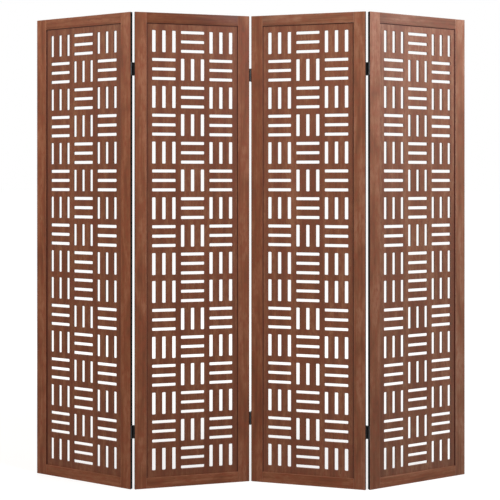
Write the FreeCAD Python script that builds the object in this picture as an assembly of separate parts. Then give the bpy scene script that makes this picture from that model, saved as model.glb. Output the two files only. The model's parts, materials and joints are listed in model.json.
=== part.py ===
import FreeCAD, Part

import math
import os

# A four-panel folding room divider, stained wood, with a cut fretwork board in each frame.
# Seen from the front, panel 1 is at the left. X runs to the right, Y to the back, Z up.
# The panels stand in a zigzag: folds 1 and 3 come forward, fold 2 and the outer edges lie back.

# Panel frame, lengths in millimetres
panel_height = 1800.0
panel_width = 442.0
panel_thickness = 13.0
stile_width = 45.0
rail_width = 40.0

# Grooves in the frame, which hold the board and the rails' stub tenons
groove_depth = 8.0
board_thickness = 6.0
groove_play = 0.1
board_edge_gap = 1.0
tenon_end_gap = 0.5

# Fretwork: blocks of parallel slots, alternately upright and level
block_columns = 3
block_rows = 16
slots_per_block = 3
restart_row = 9
side_border = 21.25
end_border = 25.75
column_gap = 20.5
row_gap = 22.7
upright_slot_width = 13.0
level_slot_width = 11.3
cut_overrun = 2.0

# Double-acting hinges: a leaf on each panel edge and a link between them, on a front and a rear pin
hinge_height = 50.0
leaf_thickness = 1.5
link_thickness = 1.5
pin_radius = 1.5
pin_running_clearance = 0.05
knuckle_wall = 1.45
pin_standoff = 1.0
barrel_side_gap = 0.5
barrel_plate_gap = 0.5
knuckle_end_gap = 0.25
lower_knuckle_share = 0.5

# Barrels, bores and pins are drawn with this many flats, which keeps the small hinges light
round_sides = 12

# Height of each hinge's centre above the floor or below the top of the panel
outer_hinge_inset = 215.0
middle_bottom_hinge_inset = 244.0
middle_top_hinge_inset = 228.0

# Angle between neighbouring panels, counted from flat, in degrees
outer_fold_angle = 38.5
middle_fold_angle = 26.1

# Sizes that follow from those above
opening_width = panel_width - 2 * stile_width
opening_height = panel_height - 2 * rail_width
groove_width = board_thickness + 2 * groove_play
groove_front = (panel_thickness - groove_width) / 2
board_front = (panel_thickness - board_thickness) / 2
board_tongue = groove_depth - board_edge_gap
tenon_length = groove_depth - tenon_end_gap
block_width = (opening_width - 2 * side_border - (block_columns - 1) * column_gap) / block_columns
block_height = (opening_height - 2 * end_border - (block_rows - 1) * row_gap) / block_rows
bore_radius = pin_radius + pin_running_clearance
knuckle_radius = bore_radius + knuckle_wall
fold_gap = 2 * (knuckle_radius + barrel_side_gap)
pin_x = fold_gap / 2
front_pin_y = -pin_standoff
rear_pin_y = panel_thickness + pin_standoff
plate_front = front_pin_y + knuckle_radius + barrel_plate_gap
plate_back = rear_pin_y - knuckle_radius - barrel_plate_gap
knuckle_split = hinge_height * lower_knuckle_share


def box(x_range, y_range, z_range):
    """A box between two limits on each axis."""
    size = [high - low for low, high in (x_range, y_range, z_range)]
    corner = FreeCAD.Vector(x_range[0], y_range[0], z_range[0])
    return Part.makeBox(size[0], size[1], size[2], corner)


def faceted_rod(radius, x, y, z_range):
    """A vertical rod between two heights, whose corners lie on the radius and whose flats face the axes."""
    corners = []
    for index in range(round_sides + 1):
        angle = 2 * math.pi * (index + 0.5) / round_sides
        corners.append(FreeCAD.Vector(x + radius * math.cos(angle), y + radius * math.sin(angle), z_range[0]))
    section = Part.Face(Part.makePolygon(corners))
    return section.extrude(FreeCAD.Vector(0, 0, z_range[1] - z_range[0]))


def faceted_bore(radius, x, y, z_range):
    """A cutter for a bore whose flats lie on the radius, so that a rod turns freely in it."""
    return faceted_rod(radius / math.cos(math.pi / round_sides), x, y, z_range)


def groove_span():
    """Front and back of the grooves, centred in the frame's thickness."""
    return (groove_front, groove_front + groove_width)


def tenon_span():
    """Front and back of a stub tenon, which fills its groove but for the play."""
    return (board_front, board_front + board_thickness)


def stile(left_side):
    """A full-height upright with a groove along its inner edge."""
    outer = 0.0 if left_side else panel_width - stile_width
    inner_edge = stile_width if left_side else panel_width - stile_width
    wood = box((outer, outer + stile_width), (0.0, panel_thickness), (0.0, panel_height))
    if left_side:
        groove_x = (inner_edge - groove_depth, inner_edge + cut_overrun)
    else:
        groove_x = (inner_edge - cut_overrun, inner_edge + groove_depth)
    groove = box(groove_x, groove_span(), (-cut_overrun, panel_height + cut_overrun))
    return wood.cut(groove)


def rail(at_top):
    """A cross piece between the stiles, grooved on its inner edge, with a stub tenon at each end."""
    low = panel_height - rail_width if at_top else 0.0
    left = stile_width
    right = panel_width - stile_width
    wood = box((left, right), (0.0, panel_thickness), (low, low + rail_width))
    if at_top:
        groove_z = (low - cut_overrun, low + groove_depth)
        tenon_z = (low + groove_depth, panel_height)
    else:
        groove_z = (rail_width - groove_depth, rail_width + cut_overrun)
        tenon_z = (0.0, rail_width - groove_depth)
    groove = box((left - cut_overrun, right + cut_overrun), groove_span(), groove_z)
    tenons = box((left - tenon_length, right + tenon_length), tenon_span(), tenon_z)
    return wood.cut(groove).fuse(tenons).removeSplitter()


def upright_block(column, row):
    """True where the slots of a block stand upright. The alternation starts again at the restart row."""
    rows_since_start = row if row < restart_row else row - restart_row
    return (column + rows_since_start) % 2 == 0


def block_slots(left, bottom, upright):
    """The parallel slots of one block, spread evenly over its width or its height."""
    through = (board_front - cut_overrun, board_front + board_thickness + cut_overrun)
    slots = []
    for index in range(slots_per_block):
        share = index / (slots_per_block - 1)
        if upright:
            x = left + share * (block_width - upright_slot_width)
            slot = box((x, x + upright_slot_width), through, (bottom, bottom + block_height))
        else:
            z = bottom + share * (block_height - level_slot_width)
            slot = box((left, left + block_width), through, (z, z + level_slot_width))
        slots.append(slot)
    return slots


def fretboard():
    """The thin board that fills the frame, cut through by the slots of all its blocks."""
    left = stile_width - board_tongue
    right = panel_width - stile_width + board_tongue
    bottom = rail_width - board_tongue
    top = panel_height - rail_width + board_tongue
    board = box((left, right), (board_front, board_front + board_thickness), (bottom, top))
    slots = []
    for row in range(block_rows):
        row_top = panel_height - rail_width - end_border - row * (block_height + row_gap)
        for column in range(block_columns):
            block_left = stile_width + side_border + column * (block_width + column_gap)
            slots += block_slots(block_left, row_top - block_height, upright_block(column, row))
    return board.cut(slots)


def knuckle_heights(lower):
    """Bottom and top of the lower or the upper knuckle of a barrel."""
    if lower:
        return (0.0, knuckle_split - knuckle_end_gap / 2)
    return (knuckle_split + knuckle_end_gap / 2, hinge_height)


def leaf(on_left_panel, front_pin):
    """A leaf: a plate on the panel's edge, whose one knuckle is rolled round the front or the rear pin.

    Its place is that of the closed hinge, with X from the left panel's edge to the right panel's.
    """
    plate_x = 0.0 if on_left_panel else fold_gap - leaf_thickness
    pin_y = front_pin_y if front_pin else rear_pin_y
    heights = knuckle_heights(lower=front_pin)
    across = (plate_x, plate_x + leaf_thickness)
    plate = box(across, (plate_front, plate_back), (0.0, hinge_height))
    web_y = (front_pin_y, plate_front) if front_pin else (plate_back, rear_pin_y)
    web = box(across, web_y, heights)
    barrel = faceted_rod(knuckle_radius, pin_x, pin_y, heights)
    bore = faceted_bore(bore_radius, pin_x, pin_y, (-cut_overrun, hinge_height + cut_overrun))
    return plate.fuse([web, barrel]).removeSplitter().cut(bore)


def link():
    """The plate between the two pins, with the upper knuckle of the front one and the lower of the rear."""
    across = (pin_x - link_thickness / 2, pin_x + link_thickness / 2)
    plate = box(across, (plate_front, plate_back), (0.0, hinge_height))
    joined = []
    for front_pin in (True, False):
        heights = knuckle_heights(lower=not front_pin)
        pin_y = front_pin_y if front_pin else rear_pin_y
        web_y = (front_pin_y, plate_front) if front_pin else (plate_back, rear_pin_y)
        joined.append(box(across, web_y, heights))
        joined.append(faceted_rod(knuckle_radius, pin_x, pin_y, heights))
    return plate.fuse(joined).removeSplitter()


def pin(front_pin):
    """A plain pin, pressed into the link's knuckle and free to turn in the leaf's."""
    pin_y = front_pin_y if front_pin else rear_pin_y
    return faceted_rod(pin_radius, pin_x, pin_y, (0.0, hinge_height))


def point(x, y):
    """A point on the floor plane."""
    return FreeCAD.Vector(x, y, 0.0)


def frame_through(local_point, world_point, angle):
    """The place of a panel that is turned by an angle and carries a local point at a world point."""
    turn = FreeCAD.Rotation(FreeCAD.Vector(0, 0, 1), angle)
    return FreeCAD.Placement(world_point - turn.multVec(local_point), turn)


def shifted(frame, x, y, z):
    """A place that is moved from another along that one's own axes."""
    return frame.multiply(FreeCAD.Placement(FreeCAD.Vector(x, y, z), FreeCAD.Rotation()))


def placed(shape, frame):
    """A copy of a shape in a place."""
    copy = shape.copy()
    copy.Placement = frame
    return copy


# Pin axes in a panel's own axes: past its left edge and past its right edge
left_front_pin = point(-pin_x, front_pin_y)
left_rear_pin = point(-pin_x, rear_pin_y)
right_front_pin = point(panel_width + pin_x, front_pin_y)
right_rear_pin = point(panel_width + pin_x, rear_pin_y)

# The panels are laid out from the middle fold, which is open about its front pin,
# to the outer folds, which are open about their rear pins.
inner_turn = middle_fold_angle / 2
outer_turn = outer_fold_angle - inner_turn
middle_axis = point(0.0, 0.0)
panel_frames = {
    2: frame_through(right_front_pin, middle_axis, inner_turn),
    3: frame_through(left_front_pin, middle_axis, -inner_turn),
}
panel_frames[1] = frame_through(right_rear_pin, panel_frames[2].multVec(left_rear_pin), -outer_turn)
panel_frames[4] = frame_through(left_rear_pin, panel_frames[3].multVec(right_rear_pin), outer_turn)

# Each fold: the panel with the front pin's leaf, the one with the rear pin's, and the one
# that the link lies against as the screen stands
folds = {
    1: {"front_leaf_panel": 1, "rear_leaf_panel": 2, "link_panel": 1},
    2: {"front_leaf_panel": 2, "rear_leaf_panel": 3, "link_panel": 3},
    3: {"front_leaf_panel": 4, "rear_leaf_panel": 3, "link_panel": 4},
}
folds[1].update({"bottom_inset": outer_hinge_inset, "top_inset": outer_hinge_inset})
folds[2].update({"bottom_inset": middle_bottom_hinge_inset, "top_inset": middle_top_hinge_inset})
folds[3].update({"bottom_inset": outer_hinge_inset, "top_inset": outer_hinge_inset})


def hinge_frame(fold, panel, bottom):
    """The closed hinge's place beside one panel of a fold, whose left panel has the fold's own number."""
    x = panel_width if panel == fold else -fold_gap
    return shifted(panel_frames[panel], x, 0.0, bottom)


def panel_nodes(number):
    """The five wooden pieces of one panel."""
    pieces = {
        "left_stile": stile(left_side=True),
        "right_stile": stile(left_side=False),
        "top_rail": rail(at_top=True),
        "bottom_rail": rail(at_top=False),
        "fretboard": fretboard(),
    }
    frame = panel_frames[number]
    return {f"panel_{number}_{name}": placed(piece, frame) for name, piece in pieces.items()}


def hinge_nodes(fold, level, bottom):
    """The five metal pieces of one hinge."""
    plan = folds[fold]
    front_frame = hinge_frame(fold, plan["front_leaf_panel"], bottom)
    rear_frame = hinge_frame(fold, plan["rear_leaf_panel"], bottom)
    link_frame = hinge_frame(fold, plan["link_panel"], bottom)
    front_on_left = plan["front_leaf_panel"] == fold
    prefix = f"fold_{fold}_{level}"
    return {
        f"{prefix}_front_leaf": placed(leaf(front_on_left, front_pin=True), front_frame),
        f"{prefix}_rear_leaf": placed(leaf(not front_on_left, front_pin=False), rear_frame),
        f"{prefix}_link": placed(link(), link_frame),
        f"{prefix}_front_pin": placed(pin(front_pin=True), link_frame),
        f"{prefix}_rear_pin": placed(pin(front_pin=False), link_frame),
    }


def all_nodes():
    """Every piece of the screen, by name."""
    nodes = {}
    for number in sorted(panel_frames):
        nodes.update(panel_nodes(number))
    for fold, plan in folds.items():
        nodes.update(hinge_nodes(fold, "bottom", plan["bottom_inset"] - hinge_height / 2))
        nodes.update(hinge_nodes(fold, "top", panel_height - plan["top_inset"] - hinge_height / 2))
    return nodes


def pin_axes():
    """The front and rear pin axis of each fold, where the link holds them."""
    axes = {}
    for fold, plan in folds.items():
        frame = hinge_frame(fold, plan["link_panel"], 0.0)
        axes[f"fold_{fold}_front"] = frame.multVec(point(pin_x, front_pin_y))
        axes[f"fold_{fold}_rear"] = frame.multVec(point(pin_x, rear_pin_y))
    return axes


# The origin is on the floor, under the centre of the whole screen's box.
os.makedirs("parts", exist_ok=True)
nodes = all_nodes()
bounds = Part.makeCompound(list(nodes.values())).BoundBox
to_origin = point(-bounds.Center.x, -bounds.Center.y)
for name, shape in nodes.items():
    shape.translate(to_origin)
    shape.exportStep(f"parts/{name}.step")

print(f"box {bounds.XLength:.2f} x {bounds.YLength:.2f} x {bounds.ZLength:.2f} mm")
print(f"block {block_width:.2f} x {block_height:.2f} mm, fold gap {fold_gap:.2f} mm")
for name, axis in pin_axes().items():
    place = axis + to_origin
    print(f"{name} pin axis at x {place.x:.4f}, y {place.y:.4f}")
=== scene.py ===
import json
import math

import bmesh
import bpy
from mathutils import Matrix, Vector


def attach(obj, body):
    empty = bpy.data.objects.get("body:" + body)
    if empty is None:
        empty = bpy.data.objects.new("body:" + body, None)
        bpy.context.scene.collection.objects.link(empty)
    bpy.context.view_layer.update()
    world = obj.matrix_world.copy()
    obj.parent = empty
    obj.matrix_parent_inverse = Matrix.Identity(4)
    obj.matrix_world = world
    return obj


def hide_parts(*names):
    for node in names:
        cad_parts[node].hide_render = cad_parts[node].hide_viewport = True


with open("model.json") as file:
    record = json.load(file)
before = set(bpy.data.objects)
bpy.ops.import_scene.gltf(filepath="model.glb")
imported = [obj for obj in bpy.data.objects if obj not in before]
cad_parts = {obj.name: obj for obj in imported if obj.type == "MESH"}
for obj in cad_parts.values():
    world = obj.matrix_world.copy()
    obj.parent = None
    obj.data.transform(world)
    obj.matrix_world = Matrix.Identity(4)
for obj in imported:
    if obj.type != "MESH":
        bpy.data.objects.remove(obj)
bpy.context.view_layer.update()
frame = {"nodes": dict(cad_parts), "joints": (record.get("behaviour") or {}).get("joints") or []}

# Stiles: the two full-height uprights of each panel, solid softwood planed square, with a
# groove along the inner edge for the board. Stained reddish brown under satin lacquer; the long
# outer edges are made nearly black and dull. They are glued to the rails' stub tenons.

PANELS = (1, 2, 3, 4)
PANEL_HEIGHT = 1.8
PANEL_WIDTH = 0.442
PANEL_THICKNESS = 0.013
STILE_WIDTH = 0.045
RAIL_WIDTH = 0.040
ARRIS = 0.0009
# Each stile's lightness and how much less red it is: partly its own stain, partly painted light, and a
# painted sheen on the right-hand panels
STILE_STAIN_AND_LIGHT = {
    "left": ((1.08, 0.0), (1.02, 0.04), (0.92, -0.02), (0.98, 0.13)),
    "right": ((1.12, -0.02), (0.92, 0.02), (1.04, 0.12), (1.02, 0.28)),
}

# The opening of a panel's frame. A panel's own axes start at its left front corner, and run to
# the right, to the back and up.
OPENING_LEFT = STILE_WIDTH
OPENING_RIGHT = PANEL_WIDTH - STILE_WIDTH
OPENING_TOP = PANEL_HEIGHT - RAIL_WIDTH

# The folds' angles from flat, in degrees, the gap between neighbouring panels, and how far the
# hinge pins' axes stand off the panels' faces
OUTER_FOLD = 38.5
MIDDLE_FOLD = 26.1
FOLD_GAP = 0.007
PIN_STANDOFF = 0.001
PIN_DEPTHS = {"front": -PIN_STANDOFF, "rear": PANEL_THICKNESS + PIN_STANDOFF}
INNER_TURN = MIDDLE_FOLD / 2
OUTER_TURN = OUTER_FOLD - INNER_TURN
RIGHT_PIN = PANEL_WIDTH + FOLD_GAP / 2
LEFT_PIN = -FOLD_GAP / 2

# How each panel stands: the pin that it hangs on, that pin's place in the panel's own axes, and
# the panel's turn
PANEL_STANDS = {
    1: ("fold_1_rear_pin", (RIGHT_PIN, PIN_DEPTHS["rear"]), -OUTER_TURN),
    2: ("fold_2_front_pin", (RIGHT_PIN, PIN_DEPTHS["front"]), INNER_TURN),
    3: ("fold_2_front_pin", (LEFT_PIN, PIN_DEPTHS["front"]), -INNER_TURN),
    4: ("fold_3_rear_pin", (LEFT_PIN, PIN_DEPTHS["rear"]), OUTER_TURN),
}

# Which way a face looks, by its normal's share to the front or back: an eased arris is between the
# first two, and a wall is below the third. A wall beside the board is found within the tolerance.
FLAT_FACE = 0.97
EASED_FACE = 0.2
WALL_FACE = 0.1
WALL_TOLERANCE = 0.0001


def panel_place(panel):
    """The matrix from a panel's own axes to the whole screen's."""
    pin, held_at, turn = PANEL_STANDS[panel]
    joint = next(j for j in frame["joints"] if j["name"] == pin)
    axis = Vector((joint["pos_m"][0], joint["pos_m"][1], 0.0))
    turned = Matrix.Rotation(math.radians(turn), 4, "Z")
    return Matrix.Translation(axis) @ turned @ Matrix.Translation((-held_at[0], -held_at[1], 0.0))


def in_panel_axes(node_name, panel):
    """A welded copy of a CAD node's shape with whole flat faces, in its panel's own axes."""
    shape = bmesh.new()
    shape.from_mesh(frame["nodes"][node_name].data)
    bmesh.ops.remove_doubles(shape, verts=shape.verts, dist=1e-6)
    shape.transform(panel_place(panel).inverted())
    bmesh.ops.dissolve_limit(shape, angle_limit=0.01, verts=shape.verts, edges=shape.edges)
    return shape


def ease_arrises(shape):
    """Rounds over the edges that lie on the front and back faces, and the corners at the ends."""
    tolerance = 1e-5
    sharp = 0.5

    def on_face(vert):
        return vert.co.y < tolerance or vert.co.y > PANEL_THICKNESS - tolerance

    arrises = [e for e in shape.edges if all(on_face(v) for v in e.verts) and e.calc_face_angle(0) > sharp]
    bmesh.ops.bevel(shape, geom=arrises, offset=ARRIS, segments=2, profile=0.5, affect="EDGES")


def give_grain(mesh, along, middle, shift, tone):
    """Stores, at each point, where it lies in the plank that the piece was cut from: across, deep, along.
    No two planks take the stain alike. The tone is how light this one is, against one for the usual
    plank, and how much less red: partly the plank's own stain and partly painted light, with pieces made
    lighter or darker for how the light falls on them, and the right-hand ones paler as a painted sheen."""
    light, pale = tone
    for name in ("plank", "stain_and_light_tone"):
        mesh.attributes.new(name, "FLOAT_VECTOR", "POINT")
    planks, tones = (mesh.attributes[name].data for name in ("plank", "stain_and_light_tone"))
    for vert, plank, toned in zip(mesh.vertices, planks, tones):
        x, y, z = vert.co
        across, length = (x, z) if along == "Z" else (z, x)
        plank.vector = (across - middle, y + shift[0], length + shift[1])
        toned.vector = (light, light * (1 + pale), light * (1 + 2 * pale))


def mark_faces(mesh):
    """Marks the eased arrises, where the stain is worn, the long outer edges, which are made nearly black,
    and the narrow walls beside and above the board, which get painted shade."""
    marks = ("eased", "outer_edge", "painted_corner_shade")
    for name in marks:
        mesh.attributes.new(name, "FLOAT", "FACE")
    eased, outer, shaded_corner = (mesh.attributes[name].data for name in marks)
    for face, worn, dark, deep in zip(mesh.polygons, eased, outer, shaded_corner):
        x, y, z = face.center
        to_front = abs(face.normal.y)
        at_side = x < ARRIS or x > PANEL_WIDTH - ARRIS
        beside_board = min(abs(x - OPENING_LEFT), abs(x - OPENING_RIGHT)) < WALL_TOLERANCE
        above_board = abs(z - OPENING_TOP) < WALL_TOLERANCE
        worn.value = float(EASED_FACE < to_front < FLAT_FACE)
        dark.value = float(at_side and to_front < FLAT_FACE)
        # A wall beside or above the board is marked for painted shade
        deep.value = float((beside_board or above_board) and to_front < WALL_FACE)


def piece_from(mesh, name, finish, body, nodes):
    """Puts a finished mesh in the scene as one piece on a body, in place of its CAD nodes."""
    mesh.name = name
    if not mesh.materials:
        mesh.materials.append(finish)
    piece = bpy.data.objects.new(name, mesh)
    bpy.context.scene.collection.objects.link(piece)
    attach(piece, body)
    if nodes:
        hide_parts(*nodes)


def linear(colour):
    """A linear colour from an sRGB hex value."""
    parts = [int(colour[i:i + 2], 16) / 255 for i in (1, 3, 5)]
    return tuple(c / 12.92 if c <= 0.04045 else ((c + 0.055) / 1.055) ** 2.4 for c in parts) + (1.0,)


def add(tree, kind, inputs=(), **settings):
    """Adds a node with its settings. Its inputs are given in order, or by name. Each is a value, a socket,
    or a node, whose first output is linked, and a list of these goes to an input that takes several."""
    node = tree.nodes.new(kind)
    for name, setting in settings.items():
        setattr(node, name, setting)
    named = inputs if isinstance(inputs, dict) else dict(enumerate(inputs))
    for key, given in named.items():
        for source in given if isinstance(given, list) else [given]:
            if isinstance(source, bpy.types.Node):
                source = next(socket for socket in source.outputs if socket.enabled)
            if isinstance(source, bpy.types.NodeSocket):
                tree.links.new(source, node.inputs[key])
            else:
                node.inputs[key].default_value = source
    return node


# What shows in stained wood: how wide its spots are across the plank and how long along it, in
# millimetres, and how finely they break up. The patches are the broad drift of the stain, the waver
# bends the growth rings, and the mottling is where the stain took unevenly.
WOOD_PATTERNS = {
    "patches": (62.5, 500.0, 2.0),
    "waver": (111.11, 454.55, 3.0),
    "streaks": (6.25, 250.0, 3.0),
    "mottling": (11.765, 29.412, 2.0),
    "pores": (1.0, 20.0, 1.0),
}
# Painted shade for the inner corners: the frame's walls beside the board, and the board's rim
PAINTED_CORNER_SHADE = "#48190d"
CORNER_SHADE_SHARE = 0.95
# The long outer edges are made nearly black and dull
OUTER_EDGE_BLACK = "#060302"
EDGE_ROUGHNESS = 0.95


def stained_wood(name, colours, ring_mm, mottle, depth_mm, shade_at_rim=False):
    """Planed wood with reddish brown stain and satin lacquer. The stain sinks deeper into the early
    wood, so soft darker streaks run along the plank, with short darker pores between them."""
    finish = bpy.data.materials.new(name)
    finish.use_nodes = True
    tree = finish.node_tree
    tree.nodes.clear()
    plank = add(tree, "ShaderNodeAttribute", attribute_name="plank").outputs["Vector"]
    plank_stain_and_light = add(tree, "ShaderNodeAttribute", attribute_name="stain_and_light_tone").outputs["Vector"]
    eased = add(tree, "ShaderNodeAttribute", attribute_name="eased").outputs["Fac"]
    outer = add(tree, "ShaderNodeAttribute", attribute_name="outer_edge").outputs["Fac"]

    noise = {}
    for pattern, (wide, long, detail) in WOOD_PATTERNS.items():
        stretch = (1000 / wide, 1000 / wide, 1000 / long)
        at = add(tree, "ShaderNodeMapping", {"Vector": plank, "Scale": stretch})
        noise[pattern] = add(tree, "ShaderNodeTexNoise", {"Vector": at, "Scale": 1.0, "Detail": detail})
    pores = add(tree, "ShaderNodeMapRange", {"Value": noise["pores"], "From Min": 0.58, "From Max": 0.70})

    # Growth rings: the plank was sawn from a log whose heart is 60 mm behind it, and which wavers
    # along its length
    heart_depth = 0.06
    waver_reach = 0.09
    split = add(tree, "ShaderNodeSeparateXYZ", [plank]).outputs
    deep = add(tree, "ShaderNodeMath", [split["Y"], heart_depth], operation="ADD")
    section = add(tree, "ShaderNodeCombineXYZ", [split["X"], deep])
    radius = add(tree, "ShaderNodeVectorMath", [section], operation="LENGTH")
    wavering = add(tree, "ShaderNodeMath", [noise["waver"], waver_reach, radius], operation="MULTIPLY_ADD")
    rings = add(tree, "ShaderNodeMath", [wavering, 1000 / ring_mm], operation="MULTIPLY")
    ring_at = add(tree, "ShaderNodeMath", [rings, 1.0], operation="PINGPONG")

    # The parts add up to a tone whose middle is one half
    tone = add(tree, "ShaderNodeMath", [noise["patches"], 0.40 - mottle / 2], operation="MULTIPLY")
    weights = ((noise["streaks"], 0.42 - mottle / 2), (noise["mottling"], mottle), (ring_at, 0.18))
    for part, weight in weights:
        tone = add(tree, "ShaderNodeMath", [part, weight, tone], operation="MULTIPLY_ADD")
    ramp = add(tree, "ShaderNodeValToRGB", {"Fac": tone})
    ramp.color_ramp.elements[0].position = 0.385
    ramp.color_ramp.elements[0].color = linear(colours["light"])
    ramp.color_ramp.elements[1].position = 0.615
    ramp.color_ramp.elements[1].color = linear(colours["dark"])
    ramp.color_ramp.elements.new(0.5).color = linear(colours["middle"])

    # Redder where it is mottled, dark in the pores, and rubbed paler on the arrises
    redness = add(tree, "ShaderNodeMapRange",
                  {"Value": noise["mottling"], "From Min": 0.40, "From Max": 0.72, "To Max": 0.8})
    rubbed = add(tree, "ShaderNodeMath", [eased, noise["patches"]], operation="MULTIPLY")
    colour = ramp
    for share, over in ((redness, "reddish"), (pores, "dark"), (rubbed, "worn")):
        colour = add(tree, "ShaderNodeMix", {"Factor": share, "A": colour, "B": linear(colours[over])},
                     data_type="RGBA")
    # Each piece's tone: partly its own stain, partly painted light and sheen
    colour = add(tree, "ShaderNodeVectorMath", [colour, plank_stain_and_light], operation="MULTIPLY")

    # Painted shade in the inner corners, where shadow falls: on the frame's narrow walls, and on the
    # board's last 3 or 4 mm beside the stiles and under the head
    shaded_corner = add(tree, "ShaderNodeAttribute", attribute_name="painted_corner_shade").outputs["Fac"]
    if shade_at_rim:
        in_panel = add(tree, "ShaderNodeAttribute", attribute_name="in_panel").outputs["Vector"]
        at = add(tree, "ShaderNodeSeparateXYZ", [in_panel]).outputs
        from_left = add(tree, "ShaderNodeMath", [at["X"], OPENING_LEFT], operation="SUBTRACT")
        from_right = add(tree, "ShaderNodeMath", [OPENING_RIGHT, at["X"]], operation="SUBTRACT")
        from_head = add(tree, "ShaderNodeMath", [OPENING_TOP, at["Z"]], operation="SUBTRACT")
        beside = add(tree, "ShaderNodeMath", [from_left, from_right], operation="MINIMUM")
        nearest = add(tree, "ShaderNodeMath", [beside, from_head], operation="MINIMUM")
        shaded_corner = add(tree, "ShaderNodeMapRange", {"Value": nearest, "From Min": 0.0022, "From Max": 0.0040,
                                                  "To Min": 1.0, "To Max": 0.0})
    corner_shading = add(tree, "ShaderNodeMath", [shaded_corner, CORNER_SHADE_SHARE], operation="MULTIPLY")
    for share, over in ((corner_shading, PAINTED_CORNER_SHADE), (outer, OUTER_EDGE_BLACK)):
        colour = add(tree, "ShaderNodeMix", {"Factor": share, "A": colour, "B": linear(over)},
                     data_type="RGBA")

    # The sheen of the lacquer varies with the streaks. The long outer edges have none and are dull
    lacquered = add(tree, "ShaderNodeMapRange", {"Value": noise["streaks"], "From Min": 0.3,
                                                 "From Max": 0.7, "To Min": 0.44, "To Max": 0.58})
    dull = add(tree, "ShaderNodeMath", [outer, EDGE_ROUGHNESS], operation="MULTIPLY")
    rough = add(tree, "ShaderNodeMath", [lacquered, dull], operation="MAXIMUM")
    hollow = add(tree, "ShaderNodeMath", [pores, -0.8, ring_at], operation="MULTIPLY_ADD")
    bump = add(tree, "ShaderNodeBump", {"Strength": 0.35, "Distance": depth_mm / 1000, "Height": hollow})
    shader = add(tree, "ShaderNodeBsdfPrincipled", {"Base Color": colour, "Roughness": rough, "IOR": 1.5,
                                                    "Specular IOR Level": 0.25, "Normal": bump})
    add(tree, "ShaderNodeOutputMaterial", {"Surface": shader})
    return finish


# Satin lacquer over reddish brown stain: a soft sheen, with darker streaks along the grain
STAINED_FRAME = stained_wood("satin_stained_softwood",
                             {"light": "#996144", "middle": "#865033", "dark": "#703e26",
                              "reddish": "#87452b", "worn": "#a57257"},
                             ring_mm=9.0, mottle=0.06, depth_mm=0.12)


def make_frame_piece(kind, panel, place, along, middle, shift, tone):
    """Makes a stile or rail: the solid's own shape, with eased arrises and its grain and stain."""
    node_name = f"panel_{panel}_{place}_{kind}"
    shape = in_panel_axes(node_name, panel)
    ease_arrises(shape)
    mesh = bpy.data.meshes.new(node_name)
    shape.to_mesh(mesh)
    shape.free()
    mark_faces(mesh)
    give_grain(mesh, along, middle, shift, tone)
    mesh.transform(panel_place(panel))
    piece_from(mesh, f"{kind}_{panel}_{place}", STAINED_FRAME, f"panel_{panel}", [node_name])


for panel in PANELS:
    for side, middle in (("left", STILE_WIDTH / 2), ("right", PANEL_WIDTH - STILE_WIDTH / 2)):
        from_log = (0.003 * panel, 2.3 * panel + (1.1 if side == "left" else 0.0))
        make_frame_piece("stile", panel, side, "Z", middle, from_log, STILE_STAIN_AND_LIGHT[side][panel - 1])

# Rails: the cross pieces between the stiles at the head and foot of each panel, of the same
# stained softwood with the grain level. A stub tenon at each end is glued in the stile's
# groove, and the inner edge is grooved for the board.

# Each rail's lightness and how much less red it is: partly its own stain, partly painted light and sheen
RAIL_STAIN_AND_LIGHT = {
    "top": ((0.94, -0.05), (0.62, -0.12), (0.96, 0.14), (0.76, 0.17)),
    "bottom": ((1.12, 0.0), (0.96, 0.0), (0.97, 0.0), (1.05, 0.10)),
}

for panel in PANELS:
    for level, middle in (("top", PANEL_HEIGHT - RAIL_WIDTH / 2), ("bottom", RAIL_WIDTH / 2)):
        from_log = (0.002 * panel, 1.7 * panel + (0.6 if level == "top" else 0.0))
        make_frame_piece("rail", panel, level, "X", middle, from_log, RAIL_STAIN_AND_LIGHT[level][panel - 1])

# Fretboards: one thin board in each frame, routed right through with blocks of three slots
# that stand upright and lie level by turns. Thin stained board with upright grain, slid into
# the frame's grooves without glue before the last rail goes on.

BOARD_THICKNESS = 0.006
BOARD_TONGUE = 0.007
SIDE_BORDER = 0.02125
TOP_BORDER = 0.02575
BOTTOM_BORDER = 0.026
COLUMN_GAP = 0.0205
ROW_GAP = 0.0227
BOARD_COUNTS = {"Block columns": 3, "Block rows": 16, "Slots per block": 3, "Restart row": 9,
                "Corner steps": 4}

board_left = STILE_WIDTH - BOARD_TONGUE
board_bottom = RAIL_WIDTH - BOARD_TONGUE
row_of_blocks = OPENING_RIGHT - OPENING_LEFT - 2 * SIDE_BORDER
column_of_blocks = OPENING_TOP - RAIL_WIDTH - TOP_BORDER - BOTTOM_BORDER
block_width = (row_of_blocks + COLUMN_GAP) / BOARD_COUNTS["Block columns"] - COLUMN_GAP
block_height = (column_of_blocks + ROW_GAP) / BOARD_COUNTS["Block rows"] - ROW_GAP
BOARD = {
    "Board left": board_left, "Board bottom": board_bottom, "Board width": PANEL_WIDTH - 2 * board_left,
    "Board height": PANEL_HEIGHT - 2 * board_bottom, "Board thickness": BOARD_THICKNESS,
    "First block left": OPENING_LEFT + SIDE_BORDER,
    "First block bottom": OPENING_TOP - TOP_BORDER - block_height,
    "Block width": block_width, "Block height": block_height,
    "Column step": block_width + COLUMN_GAP, "Row step": -(block_height + ROW_GAP),
    "Upright slot width": 0.0130, "Level slot width": 0.0113, "Slot corner radius": 0.0028,
    "Eased edge": 0.0003, "Board corner radius": 0.0008, "Board eased edge": 0.0004,
}
BOARD_FRONT = (PANEL_THICKNESS - BOARD_THICKNESS) / 2
# Each board's lightness and how much less red it is: partly its own stain, partly painted light and sheen
BOARD_STAIN_AND_LIGHT = ((1.0, 0.0), (0.88, 0.0), (1.04, 0.05), (0.97, 0.18))
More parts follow.
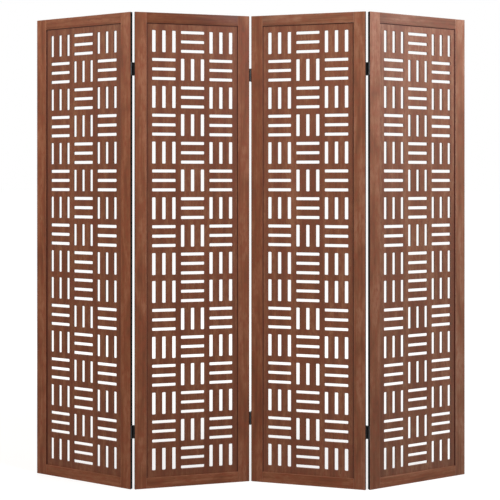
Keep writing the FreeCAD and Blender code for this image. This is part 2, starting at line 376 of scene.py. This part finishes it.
# How far each board's painted corner shade lies off centre. On the outer boards more of it shows on one
# side
SHADE_OFF_CENTRE = (-0.002, 0.0, 0.0, 0.002)


def tree_with_inputs(name, sizes, counts, materials, result):
    """A new tree of geometry nodes, and the sockets of its inputs: sizes, counts and materials."""
    tree = bpy.data.node_groups.new(name, "GeometryNodeTree")
    for kind, names in (("Float", sizes), ("Int", counts), ("Material", materials)):
        for socket in names:
            tree.interface.new_socket(name=socket, in_out="INPUT", socket_type=f"NodeSocket{kind}")
    tree.interface.new_socket(name=result, in_out="OUTPUT", socket_type="NodeSocketGeometry")
    return tree, tree.nodes.new("NodeGroupInput").outputs


def end_tree(tree, shape, finish, result):
    """Ends a tree with a real mesh in one finish."""
    real = add(tree, "GeometryNodeRealizeInstances", [shape])
    coated = add(tree, "GeometryNodeSetMaterial", {"Geometry": real, "Material": finish})
    add(tree, "NodeGroupOutput", {result: coated})


def rounded_wall_group():
    """A group that makes the wall of a rounded slot: four rings of points through the board's
    thickness, of which the first and the last are wider by the eased edge."""
    sizes = ("Length X", "Length Y", "Corner radius", "Eased reach", "Eased depth", "Depth")
    tree, size = tree_with_inputs("rounded slot wall", sizes, ("Corner steps",), (), "Wall")
    corner_points = add(tree, "ShaderNodeMath", [size["Corner steps"], 1.0], operation="ADD")
    around = add(tree, "ShaderNodeMath", [corner_points, 4.0], operation="MULTIPLY")
    tube = add(tree, "GeometryNodeMeshCylinder", {"Vertices": around, "Side Segments": 3}, fill_type="NONE")

    # Which ring a point is on, counted from the front, which corner, and how far round that corner
    index = add(tree, "GeometryNodeInputIndex")
    rings_passed = add(tree, "ShaderNodeMath", [index, around], operation="DIVIDE")
    ring = add(tree, "ShaderNodeMath", [rings_passed], operation="FLOOR")
    on_ring = add(tree, "ShaderNodeMath", [index, around], operation="MODULO")
    corners_passed = add(tree, "ShaderNodeMath", [on_ring, corner_points], operation="DIVIDE")
    corner = add(tree, "ShaderNodeMath", [corners_passed], operation="FLOOR")
    step = add(tree, "ShaderNodeMath", [on_ring, corner_points], operation="MODULO")
    share = add(tree, "ShaderNodeMath", [step, size["Corner steps"]], operation="DIVIDE")
    quarters = add(tree, "ShaderNodeMath", [corner, share], operation="ADD")
    angle = add(tree, "ShaderNodeMath", [quarters, math.pi / 2], operation="MULTIPLY")
    middle_quarter = add(tree, "ShaderNodeMath", [corner, 0.5], operation="ADD")
    to_corner = add(tree, "ShaderNodeMath", [middle_quarter, math.pi / 2], operation="MULTIPLY")

    middle_ring = add(tree, "ShaderNodeMath", [ring, 1.5, 1.0], operation="COMPARE")
    face_ring = add(tree, "ShaderNodeMath", [1.0, middle_ring], operation="SUBTRACT")
    reach = add(tree, "ShaderNodeMath", [face_ring, size["Eased reach"], size["Corner radius"]],
                operation="MULTIPLY_ADD")
    places = []
    for length, wave in (("Length X", "COSINE"), ("Length Y", "SINE")):
        half = add(tree, "ShaderNodeMath", [size[length], 0.5], operation="MULTIPLY")
        centre = add(tree, "ShaderNodeMath", [half, size["Corner radius"]], operation="SUBTRACT")
        towards = add(tree, "ShaderNodeMath", [to_corner], operation=wave)
        side = add(tree, "ShaderNodeMath", [towards], operation="SIGN")
        turned = add(tree, "ShaderNodeMath", [angle], operation=wave)
        out = add(tree, "ShaderNodeMath", [reach, turned], operation="MULTIPLY")
        places.append(add(tree, "ShaderNodeMath", [centre, side, out], operation="MULTIPLY_ADD"))

    # The rings lie one eased edge apart. The last two move back by what three such steps leave of the depth
    past_middle = add(tree, "ShaderNodeMath", [ring, 1.5], operation="GREATER_THAN")
    rest = add(tree, "ShaderNodeMath", [size["Eased depth"], -3.0, size["Depth"]], operation="MULTIPLY_ADD")
    stepped = add(tree, "ShaderNodeMath", [ring, size["Eased depth"]], operation="MULTIPLY")
    depth = add(tree, "ShaderNodeMath", [past_middle, rest, stepped], operation="MULTIPLY_ADD")
    place = add(tree, "ShaderNodeCombineXYZ", [*places, depth])
    wall = add(tree, "GeometryNodeSetPosition", {"Geometry": tube, "Position": place})
    add(tree, "NodeGroupOutput", {"Wall": wall})
    return tree


def fretboard_tree():
    """The whole board, lying in the XY plane with its front face at zero height."""
    tree, size = tree_with_inputs("slotted board", BOARD, BOARD_COUNTS, ("Finish",), "Board")
    wall_group = rounded_wall_group()

    # One point for each slot of each block, counted along the row first
    in_row = add(tree, "ShaderNodeMath", [size["Block columns"], size["Slots per block"]],
                 operation="MULTIPLY")
    total = add(tree, "ShaderNodeMath", [in_row, size["Block rows"]], operation="MULTIPLY")
    points = add(tree, "GeometryNodePoints", {"Count": total})
    index = add(tree, "GeometryNodeInputIndex")
    rows_passed = add(tree, "ShaderNodeMath", [index, in_row], operation="DIVIDE")
    row = add(tree, "ShaderNodeMath", [rows_passed], operation="FLOOR")
    in_this_row = add(tree, "ShaderNodeMath", [index, in_row], operation="MODULO")
    blocks_passed = add(tree, "ShaderNodeMath", [in_this_row, size["Slots per block"]], operation="DIVIDE")
    column = add(tree, "ShaderNodeMath", [blocks_passed], operation="FLOOR")
    slot = add(tree, "ShaderNodeMath", [in_this_row, size["Slots per block"]], operation="MODULO")
    last_slot = add(tree, "ShaderNodeMath", [size["Slots per block"], 1.0], operation="SUBTRACT")
    share = add(tree, "ShaderNodeMath", [slot, last_slot], operation="DIVIDE")

    # Blocks are upright and level by turns, along the row and down the board. The restart row is like
    # the first
    since_start = add(tree, "ShaderNodeMath", [row, size["Restart row"]], operation="MODULO")
    blocks_on = add(tree, "ShaderNodeMath", [column, since_start], operation="ADD")
    level = add(tree, "ShaderNodeMath", [blocks_on, 2.0], operation="MODULO")
    upright = add(tree, "ShaderNodeMath", [1.0, level], operation="SUBTRACT")
    block_left = add(tree, "ShaderNodeMath", [column, size["Column step"], size["First block left"]],
                     operation="MULTIPLY_ADD")
    block_low = add(tree, "ShaderNodeMath", [row, size["Row step"], size["First block bottom"]],
                    operation="MULTIPLY_ADD")
    block_corner = add(tree, "ShaderNodeCombineXYZ", [block_left, block_low])
    block = add(tree, "ShaderNodeCombineXYZ", [size["Block width"], size["Block height"]])

    shells = []
    for chosen, length_x, length_y in ((upright, size["Upright slot width"], size["Block height"]),
                                       (level, size["Block width"], size["Level slot width"])):
        wall = add(tree, "GeometryNodeGroup",
                   {"Length X": length_x, "Length Y": length_y, "Corner radius": size["Slot corner radius"],
                    "Eased reach": size["Eased edge"], "Eased depth": size["Eased edge"],
                    "Depth": size["Board thickness"], "Corner steps": size["Corner steps"]},
                   node_tree=wall_group)
        length = add(tree, "ShaderNodeCombineXYZ", [length_x, length_y])
        spare = add(tree, "ShaderNodeVectorMath", [block, length], operation="SUBTRACT")
        first = add(tree, "ShaderNodeVectorMath", [length, (0.5, 0.5, 0.5), block_corner],
                    operation="MULTIPLY_ADD")
        place = add(tree, "ShaderNodeVectorMath", [spare, share, first], operation="MULTIPLY_ADD")
        at = add(tree, "GeometryNodeSetPosition", {"Geometry": points, "Position": place})
        shells.append(add(tree, "GeometryNodeInstanceOnPoints",
                          {"Points": at, "Selection": chosen, "Instance": wall}))
    slots = add(tree, "GeometryNodeJoinGeometry", {"Geometry": shells})
    slot_walls = add(tree, "GeometryNodeRealizeInstances", [slots])

    # The board's own edge, whose arrises are taken off inwards
    inwards = add(tree, "ShaderNodeMath", [size["Board eased edge"], -1.0], operation="MULTIPLY")
    edge = add(tree, "GeometryNodeGroup",
               {"Length X": size["Board width"], "Length Y": size["Board height"],
                "Corner radius": size["Board corner radius"], "Corner steps": 1, "Eased reach": inwards,
                "Eased depth": size["Board eased edge"], "Depth": size["Board thickness"]},
               node_tree=wall_group)
    middle_x = add(tree, "ShaderNodeMath", [size["Board width"], 0.5, size["Board left"]],
                   operation="MULTIPLY_ADD")
    middle_y = add(tree, "ShaderNodeMath", [size["Board height"], 0.5, size["Board bottom"]],
                   operation="MULTIPLY_ADD")
    middle = add(tree, "ShaderNodeCombineXYZ", [middle_x, middle_y])
    edge_wall = add(tree, "GeometryNodeTransform", {"Geometry": edge, "Translation": middle})

    # The front is filled between the rings that lie on it, and a copy of it makes the back
    all_walls = add(tree, "GeometryNodeJoinGeometry", {"Geometry": [slot_walls, edge_wall]})
    at_point = add(tree, "GeometryNodeInputPosition")
    height = add(tree, "ShaderNodeSeparateXYZ", [at_point]).outputs["Z"]
    on_front = add(tree, "ShaderNodeMath", [height, 1e-6], operation="LESS_THAN")
    outlines = add(tree, "GeometryNodeMeshToCurve", {"Mesh": all_walls, "Selection": on_front})
    front = add(tree, "GeometryNodeFillCurve", {"Curve": outlines})
    lift = add(tree, "ShaderNodeCombineXYZ", {"Z": size["Board thickness"]})
    back = add(tree, "GeometryNodeTransform", {"Geometry": front, "Translation": lift})
    whole = add(tree, "GeometryNodeJoinGeometry", {"Geometry": [all_walls, front, back]})
    welded = add(tree, "GeometryNodeMergeByDistance", {"Geometry": whole, "Distance": 1e-5})
    end_tree(tree, welded, size["Finish"], "Board")
    return tree


def mesh_from_tree(tree, settings):
    """Runs a tree of geometry nodes on an empty piece and returns the plain mesh that it makes."""
    carrier = bpy.data.objects.new("carrier", bpy.data.meshes.new("carrier"))
    bpy.context.scene.collection.objects.link(carrier)
    modifier = carrier.modifiers.new("nodes", "NODES")
    modifier.node_group = tree
    sockets = {s.name: s.identifier for s in tree.interface.items_tree if s.in_out == "INPUT"}
    for name, setting in settings.items():
        modifier[sockets[name]] = setting
    bpy.context.view_layer.update()
    evaluated = carrier.evaluated_get(bpy.context.evaluated_depsgraph_get())
    mesh = bpy.data.meshes.new_from_object(evaluated)
    carrier.modifiers.remove(modifier)
    bpy.data.objects.remove(carrier)
    return mesh


# The same stain on a thin board with a plainer figure, a little redder and more even, with painted shade
# along its rim
STAINED_BOARD = stained_wood("satin_stained_board",
                             {"light": "#8e5b3f", "middle": "#7d4b31", "dark": "#6a3c27",
                              "reddish": "#80432c", "worn": "#96654a"},
                             ring_mm=21.0, mottle=0.22, depth_mm=0.06, shade_at_rim=True)

flat_board = mesh_from_tree(fretboard_tree(), {**BOARD, **BOARD_COUNTS, "Finish": STAINED_BOARD})

for panel in PANELS:
    board = flat_board.copy()
    # The board stands up: its width stays, its height goes up and its depth to the back. That turns it
    # inside out, so its normals are worked out again
    stand = Matrix(((1, 0, 0, 0), (0, 0, 1, BOARD_FRONT), (0, 1, 0, 0), (0, 0, 0, 1)))
    board.transform(stand)
    shape = bmesh.new()
    shape.from_mesh(board)
    bmesh.ops.recalc_face_normals(shape, faces=shape.faces)
    shape.to_mesh(board)
    shape.free()
    mark_faces(board)
    # Where the board's painted corner shade is measured from, moved off centre on the outer boards
    in_panel = board.attributes.new("in_panel", "FLOAT_VECTOR", "POINT")
    for vert, stored in zip(board.vertices, in_panel.data):
        stored.vector = vert.co + Vector((SHADE_OFF_CENTRE[panel - 1], 0.0, 0.0))
    give_grain(board, "Z", PANEL_WIDTH / 2, (0.011 * panel, 3.1 * panel), BOARD_STAIN_AND_LIGHT[panel - 1])
    board.transform(panel_place(panel))
    piece_from(board, f"fretboard_{panel}", STAINED_BOARD, f"panel_{panel}",
               [f"panel_{panel}_fretboard"])
bpy.data.meshes.remove(flat_board)

# Hinge leaves: black-enamelled sheet steel, one on each panel's edge, with knuckles rolled
# round the front or the rear pin. They alternate with the link's knuckles on the same pin.
# Each is held by two countersunk screws.

HINGE_HEIGHT = 0.050
SHEET = 0.0015
PIN_RADIUS = 0.0015
PIN_ACROSS = FOLD_GAP / 2
PIN_TO_PLATE = 0.0035
PLATE_FROM = PIN_DEPTHS["front"] + PIN_TO_PLATE
PLATE_TO = PIN_DEPTHS["rear"] - PIN_TO_PLATE
KNUCKLE_GAP = 0.0002
KNUCKLES_TO_A_PIN = 4
KNUCKLE_SPAN = HINGE_HEIGHT / KNUCKLES_TO_A_PIN
# The middles of the two lowest knuckles on a pin, one of the leaf's and one of the link's
LOWER_START = KNUCKLE_SPAN / 2
UPPER_START = KNUCKLE_SPAN * 3 / 2
KNUCKLE_SIDES = 24

# How far the hinges' middles are from the ends of the panels, at folds 1 and 3 and at fold 2, and the
# heights of the hinges' lower ends above the floor, which follow from that
OUTER_INSET = 0.215
MIDDLE_BOTTOM_INSET = 0.244
MIDDLE_TOP_INSET = 0.228
HALF_HINGE = HINGE_HEIGHT / 2
OUTER_HINGES = {"bottom": OUTER_INSET - HALF_HINGE, "top": PANEL_HEIGHT - OUTER_INSET - HALF_HINGE}
MIDDLE_HINGES = {"bottom": MIDDLE_BOTTOM_INSET - HALF_HINGE,
                 "top": PANEL_HEIGHT - MIDDLE_TOP_INSET - HALF_HINGE}
# Which panel holds the leaf round each pin, and which panel's leaf the link lies beside
FOLDS = {
    1: {"front": 1, "rear": 2, "link": 1, **OUTER_HINGES},
    2: {"front": 2, "rear": 3, "link": 3, **MIDDLE_HINGES},
    3: {"front": 4, "rear": 3, "link": 4, **OUTER_HINGES},
}
PLATE_SIZES = {
    "Outer radius": 0.00295, "Bore radius": PIN_RADIUS + 0.00005, "Drill length": 0.2,
    "Knuckle height": KNUCKLE_SPAN - KNUCKLE_GAP, "Knuckle pitch": 2 * KNUCKLE_SPAN,
    "Plate across": PIN_ACROSS, "Plate from": PLATE_FROM, "Plate to": PLATE_TO,
    "Plate height": HINGE_HEIGHT, "Sheet thickness": SHEET, "Web overlap": 0.0004,
    "Front pin depth": PIN_DEPTHS["front"], "Rear pin depth": PIN_DEPTHS["rear"],
    "Pin across": PIN_ACROSS, "Front first knuckle": 0.0, "Rear first knuckle": 0.0,
}
PLATE_COUNTS = {"Front knuckles": 0, "Rear knuckles": 0, "Facets": KNUCKLE_SIDES}


def knuckle_tree():
    """A sheet-steel plate with rolled knuckles: two on each pin that it holds, and the web to each."""
    tree, size = tree_with_inputs("plate with knuckles", PLATE_SIZES, PLATE_COUNTS, ("Finish",), "Plate")

    def block(thick, deep, high, x, y, z):
        scale = add(tree, "ShaderNodeCombineXYZ", [thick, deep, high])
        cube = add(tree, "GeometryNodeMeshCube", {"Size": scale})
        place = add(tree, "ShaderNodeCombineXYZ", [x, y, z])
        return add(tree, "GeometryNodeTransform", {"Geometry": cube, "Translation": place})

    half_high = add(tree, "ShaderNodeMath", [size["Plate height"], 0.5], operation="MULTIPLY")
    plate_deep = add(tree, "ShaderNodeMath", [size["Plate to"], size["Plate from"]], operation="SUBTRACT")
    plate_middle = add(tree, "ShaderNodeMath", [plate_deep, 0.5, size["Plate from"]],
                       operation="MULTIPLY_ADD")
    shells = [block(size["Sheet thickness"], plate_deep, size["Plate height"],
                    size["Plate across"], plate_middle, half_high)]

    bores = []
    for pin, near_edge in (("Front", "Plate from"), ("Rear", "Plate to")):
        pin_depth = size[f"{pin} pin depth"]
        from_pin = add(tree, "ShaderNodeMath", [size[near_edge], pin_depth], operation="SUBTRACT")
        web_deep = add(tree, "ShaderNodeMath", [from_pin], operation="ABSOLUTE")
        web_reach = add(tree, "ShaderNodeMath", [web_deep, size["Web overlap"]], operation="ADD")
        web_middle = add(tree, "ShaderNodeMath", [from_pin, 0.5, pin_depth], operation="MULTIPLY_ADD")
        web = block(size["Sheet thickness"], web_reach, size["Knuckle height"],
                    size["Plate across"], web_middle, 0.0)
        pin_place = add(tree, "ShaderNodeCombineXYZ", [size["Pin across"], pin_depth])
        barrel = add(tree, "GeometryNodeMeshCylinder",
                     {"Vertices": size["Facets"], "Radius": size["Outer radius"],
                      "Depth": size["Knuckle height"]}, fill_type="NGON")
        barrel_at = add(tree, "GeometryNodeTransform", {"Geometry": barrel, "Translation": pin_place})
        pitch = add(tree, "ShaderNodeCombineXYZ", {"Z": size["Knuckle pitch"]})
        start = add(tree, "ShaderNodeCombineXYZ", {"Z": size[f"{pin} first knuckle"]})
        line = add(tree, "GeometryNodeMeshLine",
                   {"Count": size[f"{pin} knuckles"], "Start Location": start, "Offset": pitch},
                   mode="OFFSET")
        for shell in (barrel_at, web):
            row = add(tree, "GeometryNodeInstanceOnPoints", {"Points": line, "Instance": shell})
            shells.append(add(tree, "GeometryNodeRealizeInstances", [row]))
        drill = add(tree, "GeometryNodeMeshCylinder",
                    {"Vertices": size["Facets"], "Radius": size["Bore radius"],
                     "Depth": size["Drill length"]}, fill_type="NGON")
        bores.append(add(tree, "GeometryNodeTransform", {"Geometry": drill, "Translation": pin_place}))

    union = add(tree, "GeometryNodeMeshBoolean", {"Mesh 2": shells}, operation="UNION", solver="EXACT")
    bored = add(tree, "GeometryNodeMeshBoolean", {"Mesh 1": union, "Mesh 2": bores},
                operation="DIFFERENCE", solver="EXACT")
    end_tree(tree, bored, size["Finish"], "Plate")
    return tree


def enamelled_steel(name, coat, bare, rough):
    """Black enamel baked on sheet steel: almost even, with a faint orange-peel ripple in its gloss."""
    peel_mm = 1.0
    spot_mm = 6.25
    finish = bpy.data.materials.new(name)
    finish.use_nodes = True
    tree = finish.node_tree
    tree.nodes.clear()
    place = add(tree, "ShaderNodeTexCoord").outputs["Object"]
    peel = add(tree, "ShaderNodeTexNoise", {"Vector": place, "Scale": 1000 / peel_mm, "Detail": 1.0})
    spots = add(tree, "ShaderNodeTexNoise", {"Vector": place, "Scale": 1000 / spot_mm, "Detail": 3.0})
    rubbed = add(tree, "ShaderNodeMapRange", {"Value": spots, "From Min": 0.55, "From Max": 0.75})
    colour = add(tree, "ShaderNodeMix", {"Factor": rubbed, "A": linear(coat), "B": linear(bare)},
                 data_type="RGBA")
    sheen = add(tree, "ShaderNodeMapRange", {"Value": spots, "From Min": 0.3, "From Max": 0.7,
                                             "To Min": rough - 0.05, "To Max": rough + 0.10})
    bump = add(tree, "ShaderNodeBump", {"Strength": 0.25, "Distance": 0.00005, "Height": peel})
    shader = add(tree, "ShaderNodeBsdfPrincipled",
                 {"Base Color": colour, "Roughness": sheen, "IOR": 1.5, "Normal": bump})
    add(tree, "ShaderNodeOutputMaterial", {"Surface": shader})
    return finish


def hinge_place(fold, panel, bottom):
    """From the closed hinge's own axes, which start at the left panel's edge, to the whole screen's."""
    across = PANEL_WIDTH if panel == fold else -FOLD_GAP
    return panel_place(panel) @ Matrix.Translation((across, 0.0, bottom))


def each_hinge():
    """Goes through the six hinges, two to a fold, with what each one's fold says."""
    for fold, plan in FOLDS.items():
        for level in ("bottom", "top"):
            yield fold, level, plan


# Semi-gloss black enamel: nearly black, with small soft highlights on the knuckles
BLACK_ENAMEL = enamelled_steel("baked_black_enamel", "#080707", "#1c1a18", rough=0.38)
PLATE = {**PLATE_SIZES, **PLATE_COUNTS, "Finish": BLACK_ENAMEL}
LEAF_KNUCKLES = {"front": {"Front knuckles": 2, "Front first knuckle": LOWER_START},
                 "rear": {"Rear knuckles": 2, "Rear first knuckle": UPPER_START}}
plate_tree = knuckle_tree()

for fold, level, plan in each_hinge():
    for pin, knuckles in LEAF_KNUCKLES.items():
        panel = plan[pin]
        across = SHEET / 2 if panel == fold else FOLD_GAP - SHEET / 2
        leaf = mesh_from_tree(plate_tree, {**PLATE, "Plate across": across, **knuckles})
        leaf.transform(hinge_place(fold, panel, plan[level]))
        piece_from(leaf, f"hinge_leaf_{fold}_{level}_{pin}", BLACK_ENAMEL, f"panel_{panel}",
                   [f"fold_{fold}_{level}_{pin}_leaf"])

# Screws: two countersunk cross-head wood screws through each leaf into the stile's edge.
# Blackened steel, driven flush, hidden between leaf and link until the fold is opened.

SCREW = {"Head radius": 0.0026, "Shank radius": 0.0013, "Tip radius": 0.0003, "Head depth": 0.0013,
         "Screw length": 0.012, "Recess width": 0.0007, "Recess reach": 0.0030, "Recess depth": 0.0007,
         "Screw pitch": HINGE_HEIGHT / 2}
SCREW_COUNTS = {"Screws": 2, "Facets": 20}


def screw_tree():
    """A row of countersunk screws along Z, whose heads face +X and whose shanks run towards -X."""
    tree, size = tree_with_inputs("countersunk screws", SCREW, SCREW_COUNTS, ("Finish",), "Row")
    head = add(tree, "GeometryNodeMeshCone",
               {"Vertices": size["Facets"], "Radius Top": size["Head radius"],
                "Radius Bottom": size["Shank radius"], "Depth": size["Head depth"]}, fill_type="NGON")
    shank_long = add(tree, "ShaderNodeMath", [size["Screw length"], size["Head depth"]],
                     operation="SUBTRACT")
    shank = add(tree, "GeometryNodeMeshCone",
                {"Vertices": size["Facets"], "Radius Top": size["Shank radius"],
                 "Radius Bottom": size["Tip radius"], "Depth": shank_long}, fill_type="NGON")
    solids = []
    for cone, below_face in ((head, "Head depth"), (shank, "Screw length")):
        foot = add(tree, "ShaderNodeMath", [size[below_face], -1.0], operation="MULTIPLY")
        place = add(tree, "ShaderNodeCombineXYZ", {"Z": foot})
        solids.append(add(tree, "GeometryNodeTransform", {"Geometry": cone, "Translation": place}))
    body = add(tree, "GeometryNodeMeshBoolean", {"Mesh 2": solids}, operation="UNION", solver="EXACT")

    # The cross recess is cut by two blades, half of which stands above the head
    blade_deep = add(tree, "ShaderNodeMath", [size["Recess depth"], 2.0], operation="MULTIPLY")
    blades = []
    for along, across in (("X", "Y"), ("Y", "X")):
        scale = add(tree, "ShaderNodeCombineXYZ",
                    {along: size["Recess reach"], across: size["Recess width"], "Z": blade_deep})
        blades.append(add(tree, "GeometryNodeMeshCube", {"Size": scale}))
    cut = add(tree, "GeometryNodeMeshBoolean", {"Mesh 1": body, "Mesh 2": blades},
              operation="DIFFERENCE", solver="EXACT")
    turned = add(tree, "GeometryNodeTransform", {"Geometry": cut, "Rotation": (0.0, math.pi / 2, 0.0)})
    pitch = add(tree, "ShaderNodeCombineXYZ", {"Z": size["Screw pitch"]})
    line = add(tree, "GeometryNodeMeshLine", {"Count": size["Screws"], "Offset": pitch}, mode="OFFSET")
    row = add(tree, "GeometryNodeInstanceOnPoints", {"Points": line, "Instance": turned})
    end_tree(tree, row, size["Finish"], "Row")
    return tree


# Blackened steel: dark metal with a dull gleam in the recess
BLACK_STEEL = enamelled_steel("blackened_steel", "#1b1918", "#3a3634", rough=0.32)
one_pair = mesh_from_tree(screw_tree(), {**SCREW, **SCREW_COUNTS, "Finish": BLACK_STEEL})
screw_line = Vector((0.0, (PLATE_FROM + PLATE_TO) / 2, HINGE_HEIGHT / 4))

for panel in PANELS:
    joined = bmesh.new()
    for fold, level, plan in each_hinge():
        if panel not in (plan["front"], plan["rear"]):
            continue
        pair = one_pair.copy()
        if panel == fold:
            turn = Matrix.Identity(4)
            face = SHEET
        else:
            turn = Matrix.Rotation(math.pi, 4, "Z")
            face = FOLD_GAP - SHEET
        at = Matrix.Translation(screw_line + Vector((face, 0.0, 0.0)))
        pair.transform(hinge_place(fold, panel, plan[level]) @ at @ turn)
        joined.from_mesh(pair)
        bpy.data.meshes.remove(pair)
    screws = bpy.data.meshes.new("screws")
    joined.to_mesh(screws)
    joined.free()
    piece_from(screws, f"leaf_screws_{panel}", BLACK_STEEL, f"panel_{panel}", [])
bpy.data.meshes.remove(one_pair)

# Links: the middle plate of each double-acting hinge, black-enamelled sheet steel like the
# leaves, with knuckles on both pins. As the screen stands it lies beside one panel's leaf.

LINK_KNUCKLES = {"Front knuckles": 2, "Front first knuckle": UPPER_START,
                 "Rear knuckles": 2, "Rear first knuckle": LOWER_START}

for fold, level, plan in each_hinge():
    link = mesh_from_tree(plate_tree, {**PLATE, **LINK_KNUCKLES})
    link.transform(hinge_place(fold, plan["link"], plan[level]))
    piece_from(link, f"hinge_link_{fold}_{level}", BLACK_ENAMEL, f"fold_{fold}_links",
               [f"fold_{fold}_{level}_link"])

# Pins: a plain blackened steel pin down each barrel, with slightly rounded ends, pressed
# into the link's knuckles and free to turn in the leaf's.

PIN_SIDES = 24
# One end's outline, from the middle of the end face out to the full radius: radius and height
PIN_END = ((0.0, 0.0), (0.0010, 0.0), (0.0014, 0.0002), (PIN_RADIUS, 0.0006))
PIN_PROFILE = PIN_END + tuple((reach, HINGE_HEIGHT - height) for reach, height in reversed(PIN_END))


def turned_pin(name):
    """A pin turned on its own axis, from the floor of its barrel up."""
    shape = bmesh.new()
    rings = []
    for reach, height in PIN_PROFILE:
        if reach == 0.0:
            rings.append([shape.verts.new((0.0, 0.0, height))])
            continue
        steps = (2 * math.pi * side / PIN_SIDES for side in range(PIN_SIDES))
        rings.append([shape.verts.new((reach * math.cos(a), reach * math.sin(a), height)) for a in steps])
    for low, high in zip(rings, rings[1:]):
        for side in range(PIN_SIDES):
            after = (side + 1) % PIN_SIDES
            if len(low) == 1:
                shape.faces.new((low[0], high[after], high[side]))
            elif len(high) == 1:
                shape.faces.new((low[side], low[after], high[0]))
            else:
                shape.faces.new((low[side], low[after], high[after], high[side]))
    bmesh.ops.recalc_face_normals(shape, faces=shape.faces)
    for face in shape.faces:
        face.smooth = True
    mesh = bpy.data.meshes.new(name)
    shape.to_mesh(mesh)
    shape.free()
    return mesh


for fold, level, plan in each_hinge():
    for pin, depth in PIN_DEPTHS.items():
        rod = turned_pin("pin")
        at = Matrix.Translation((PIN_ACROSS, depth, 0.0))
        rod.transform(hinge_place(fold, plan["link"], plan[level]) @ at)
        piece_from(rod, f"hinge_pin_{fold}_{level}_{pin}", BLACK_STEEL, f"fold_{fold}_links",
                   [f"fold_{fold}_{level}_{pin}_pin"])

# Studio: a plain pale floor that keeps the screen's shadow, and a white backdrop. A soft lamp
# stands high in front on the right, a weaker one on the left, and a large one behind.

FLOOR_REACH = 90.0
AMBIENT = 0.16
WHITE = (1.0, 1.0, 1.0, 1.0)


def seen_by_rays(tree):
    """Gives 1 to rays from the camera and through or off gloss and glass, and 0 to those that light."""
    rays = add(tree, "ShaderNodeLightPath").outputs
    seen = add(tree, "ShaderNodeMath", [rays["Is Camera Ray"], rays["Is Glossy Ray"]], operation="ADD")
    return add(tree, "ShaderNodeMath", [seen, rays["Is Transmission Ray"]], operation="ADD", use_clamp=True)


floor_mesh = bpy.data.meshes.new("studio_floor")
corners = [(x * FLOOR_REACH, y * FLOOR_REACH, 0.0) for x, y in ((-1, -1), (1, -1), (1, 1), (-1, 1))]
floor_mesh.from_pydata(corners, [], [(0, 1, 2, 3)])
floor = bpy.data.objects.new("studio_floor", floor_mesh)
bpy.context.scene.collection.objects.link(floor)
pale = bpy.data.materials.new("pale_studio_floor")
pale.use_nodes = True
tree = pale.node_tree
tree.nodes.clear()
matt = add(tree, "ShaderNodeBsdfDiffuse", {"Color": linear("#a9a7a5")})
# The floor looks paler with distance, from 1.5 m to 4.5 m away, and meets the backdrop unseen
floor_place = add(tree, "ShaderNodeTexCoord").outputs["Object"]
away = add(tree, "ShaderNodeVectorMath", [floor_place], operation="LENGTH")
whiteness = add(tree, "ShaderNodeMapRange",
                {"Value": away, "From Min": 1.5, "From Max": 4.5, "To Min": 0.74, "To Max": 0.95})
glow_strength = add(tree, "ShaderNodeMath", [seen_by_rays(tree), whiteness], operation="MULTIPLY")
glow = add(tree, "ShaderNodeEmission", {"Strength": glow_strength})
both = add(tree, "ShaderNodeAddShader", [matt, glow])
add(tree, "ShaderNodeOutputMaterial", {"Surface": both})
floor_mesh.materials.append(pale)

world = bpy.data.worlds.new("studio")
bpy.context.scene.world = world
world.use_nodes = True
tree = world.node_tree
tree.nodes.clear()
ambient = add(tree, "ShaderNodeBackground", {"Color": WHITE, "Strength": AMBIENT})
white = add(tree, "ShaderNodeBackground", {"Color": WHITE, "Strength": 1.0})
mixed = add(tree, "ShaderNodeMixShader", [seen_by_rays(tree), ambient, white])
add(tree, "ShaderNodeOutputWorld", {"Surface": mixed})


def soft_lamp(name, place, aim, width, power, tint):
    """A large square lamp that faces a point."""
    lamp = bpy.data.lights.new(name, "AREA")
    lamp.color = tint
    lamp.shape = "SQUARE"
    lamp.size = width
    lamp.energy = power
    holder = bpy.data.objects.new(name, lamp)
    holder.location = place
    holder.rotation_euler = (Vector(aim) - Vector(place)).to_track_quat("-Z", "Y").to_euler()
    bpy.context.scene.collection.objects.link(holder)


soft_lamp("key_lamp", place=(1.9, -1.4, 2.7), aim=(0.6, 0.0, 1.3), width=1.0, power=70.0,
          tint=(0.97, 1.02, 1.13))
soft_lamp("back_lamp", place=(-0.8, 3.2, 2.6), aim=(0.0, 0.0, 1.0), width=2.0, power=70.0,
          tint=(1.0, 1.0, 1.0))
soft_lamp("fill_lamp", place=(-2.1, -1.8, 2.6), aim=(-0.6, 0.0, 1.2), width=1.4, power=44.0,
          tint=(1.04, 0.98, 0.90))

bpy.context.scene.view_settings.view_transform = "Standard"

# Camera: level, a little over a metre above the floor, with the lens shifted down to the screen.
# Its place, lens and turn are those at which the panels' corners fall where the photo has them.

camera_data = bpy.data.cameras.new("camera")
camera_data.sensor_width = 36.0
camera_data.lens = 65.715
camera_data.shift_y = -0.13874
camera_data.clip_end = 200.0
camera = bpy.data.objects.new("camera", camera_data)
camera.location = (0.0278, -3.5322, 1.1635)
camera.rotation_euler = (math.pi / 2, 0.0, math.radians(0.468))
bpy.context.scene.collection.objects.link(camera)
bpy.context.scene.camera = camera
